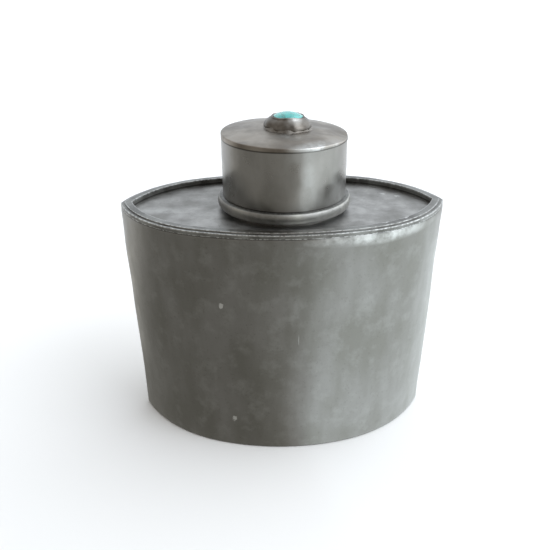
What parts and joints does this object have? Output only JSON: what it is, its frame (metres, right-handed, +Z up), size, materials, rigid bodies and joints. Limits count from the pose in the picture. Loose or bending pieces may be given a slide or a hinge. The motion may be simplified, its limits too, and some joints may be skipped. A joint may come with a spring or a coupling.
{
  "type": "inkwell",
  "caption": "Pewter desk inkwell: tapering vessel with a pointed-oval plan, sunk deck, round lift-off cap set with a blue-green cabochon, and a glass ink pot inside.",
  "frame": {"origin": "centre of the base, on the surface that the inkwell stands on", "axes": "+Z up, parallel to the cap's axis, +X along the vessel's length towards one tip, +Y towards the rear sheet"},
  "size_m": [0.1, 0.057, 0.1012],
  "materials": {
    "vessel_pewter": "hand-planished pewter with a dull grey patina, satin",
    "rim_pewter": "pewter moulding, satin with brighter rubbed edges",
    "cap_pewter": "hand-planished pewter, a little brighter where it is handled",
    "solder": "tin solder, smooth and slightly brighter than the sheet",
    "cork": "fine-grained cork",
    "pot_glass": "thick moulded clear glass with a faint green tint",
    "cabochon": "polished blue-green cabochon, glassy, waxy in depth"
  },
  "bodies": {
    "root": {"wall_front": "vessel_pewter", "wall_rear": "vessel_pewter", "base_plate": "vessel_pewter", "rim_frame": "rim_pewter", "deck_plate": "vessel_pewter", "neck_tube": "vessel_pewter", "seat_washer": "cork", "neck_solder": "solder", "base_solder": "solder", "seam_solder_left": "solder", "seam_solder_right": "solder"},
    "cap": {"cap_wall": "cap_pewter", "cap_disc": "cap_pewter", "cap_moulding": "cap_pewter", "stone_mount": "cap_pewter", "stone_bed": "cork", "stone": "cabochon", "mount_solder": "solder"},
    "pot": {"ink_pot": "pot_glass"}
  },
  "joints": [
    {"name": "cap_lift", "type": "slide", "parent": "root", "child": "cap", "axis": [0, 0, 1], "range_m": [0, 0.11]},
    {"name": "pot_lift", "type": "slide", "parent": "root", "child": "pot", "axis": [0, 0, 1], "range_m": [0, 0.066]}
  ],
  "couplings": [
    {"joint": "pot_lift", "follows": "cap_lift", "ratio": 0.6}
  ]
}
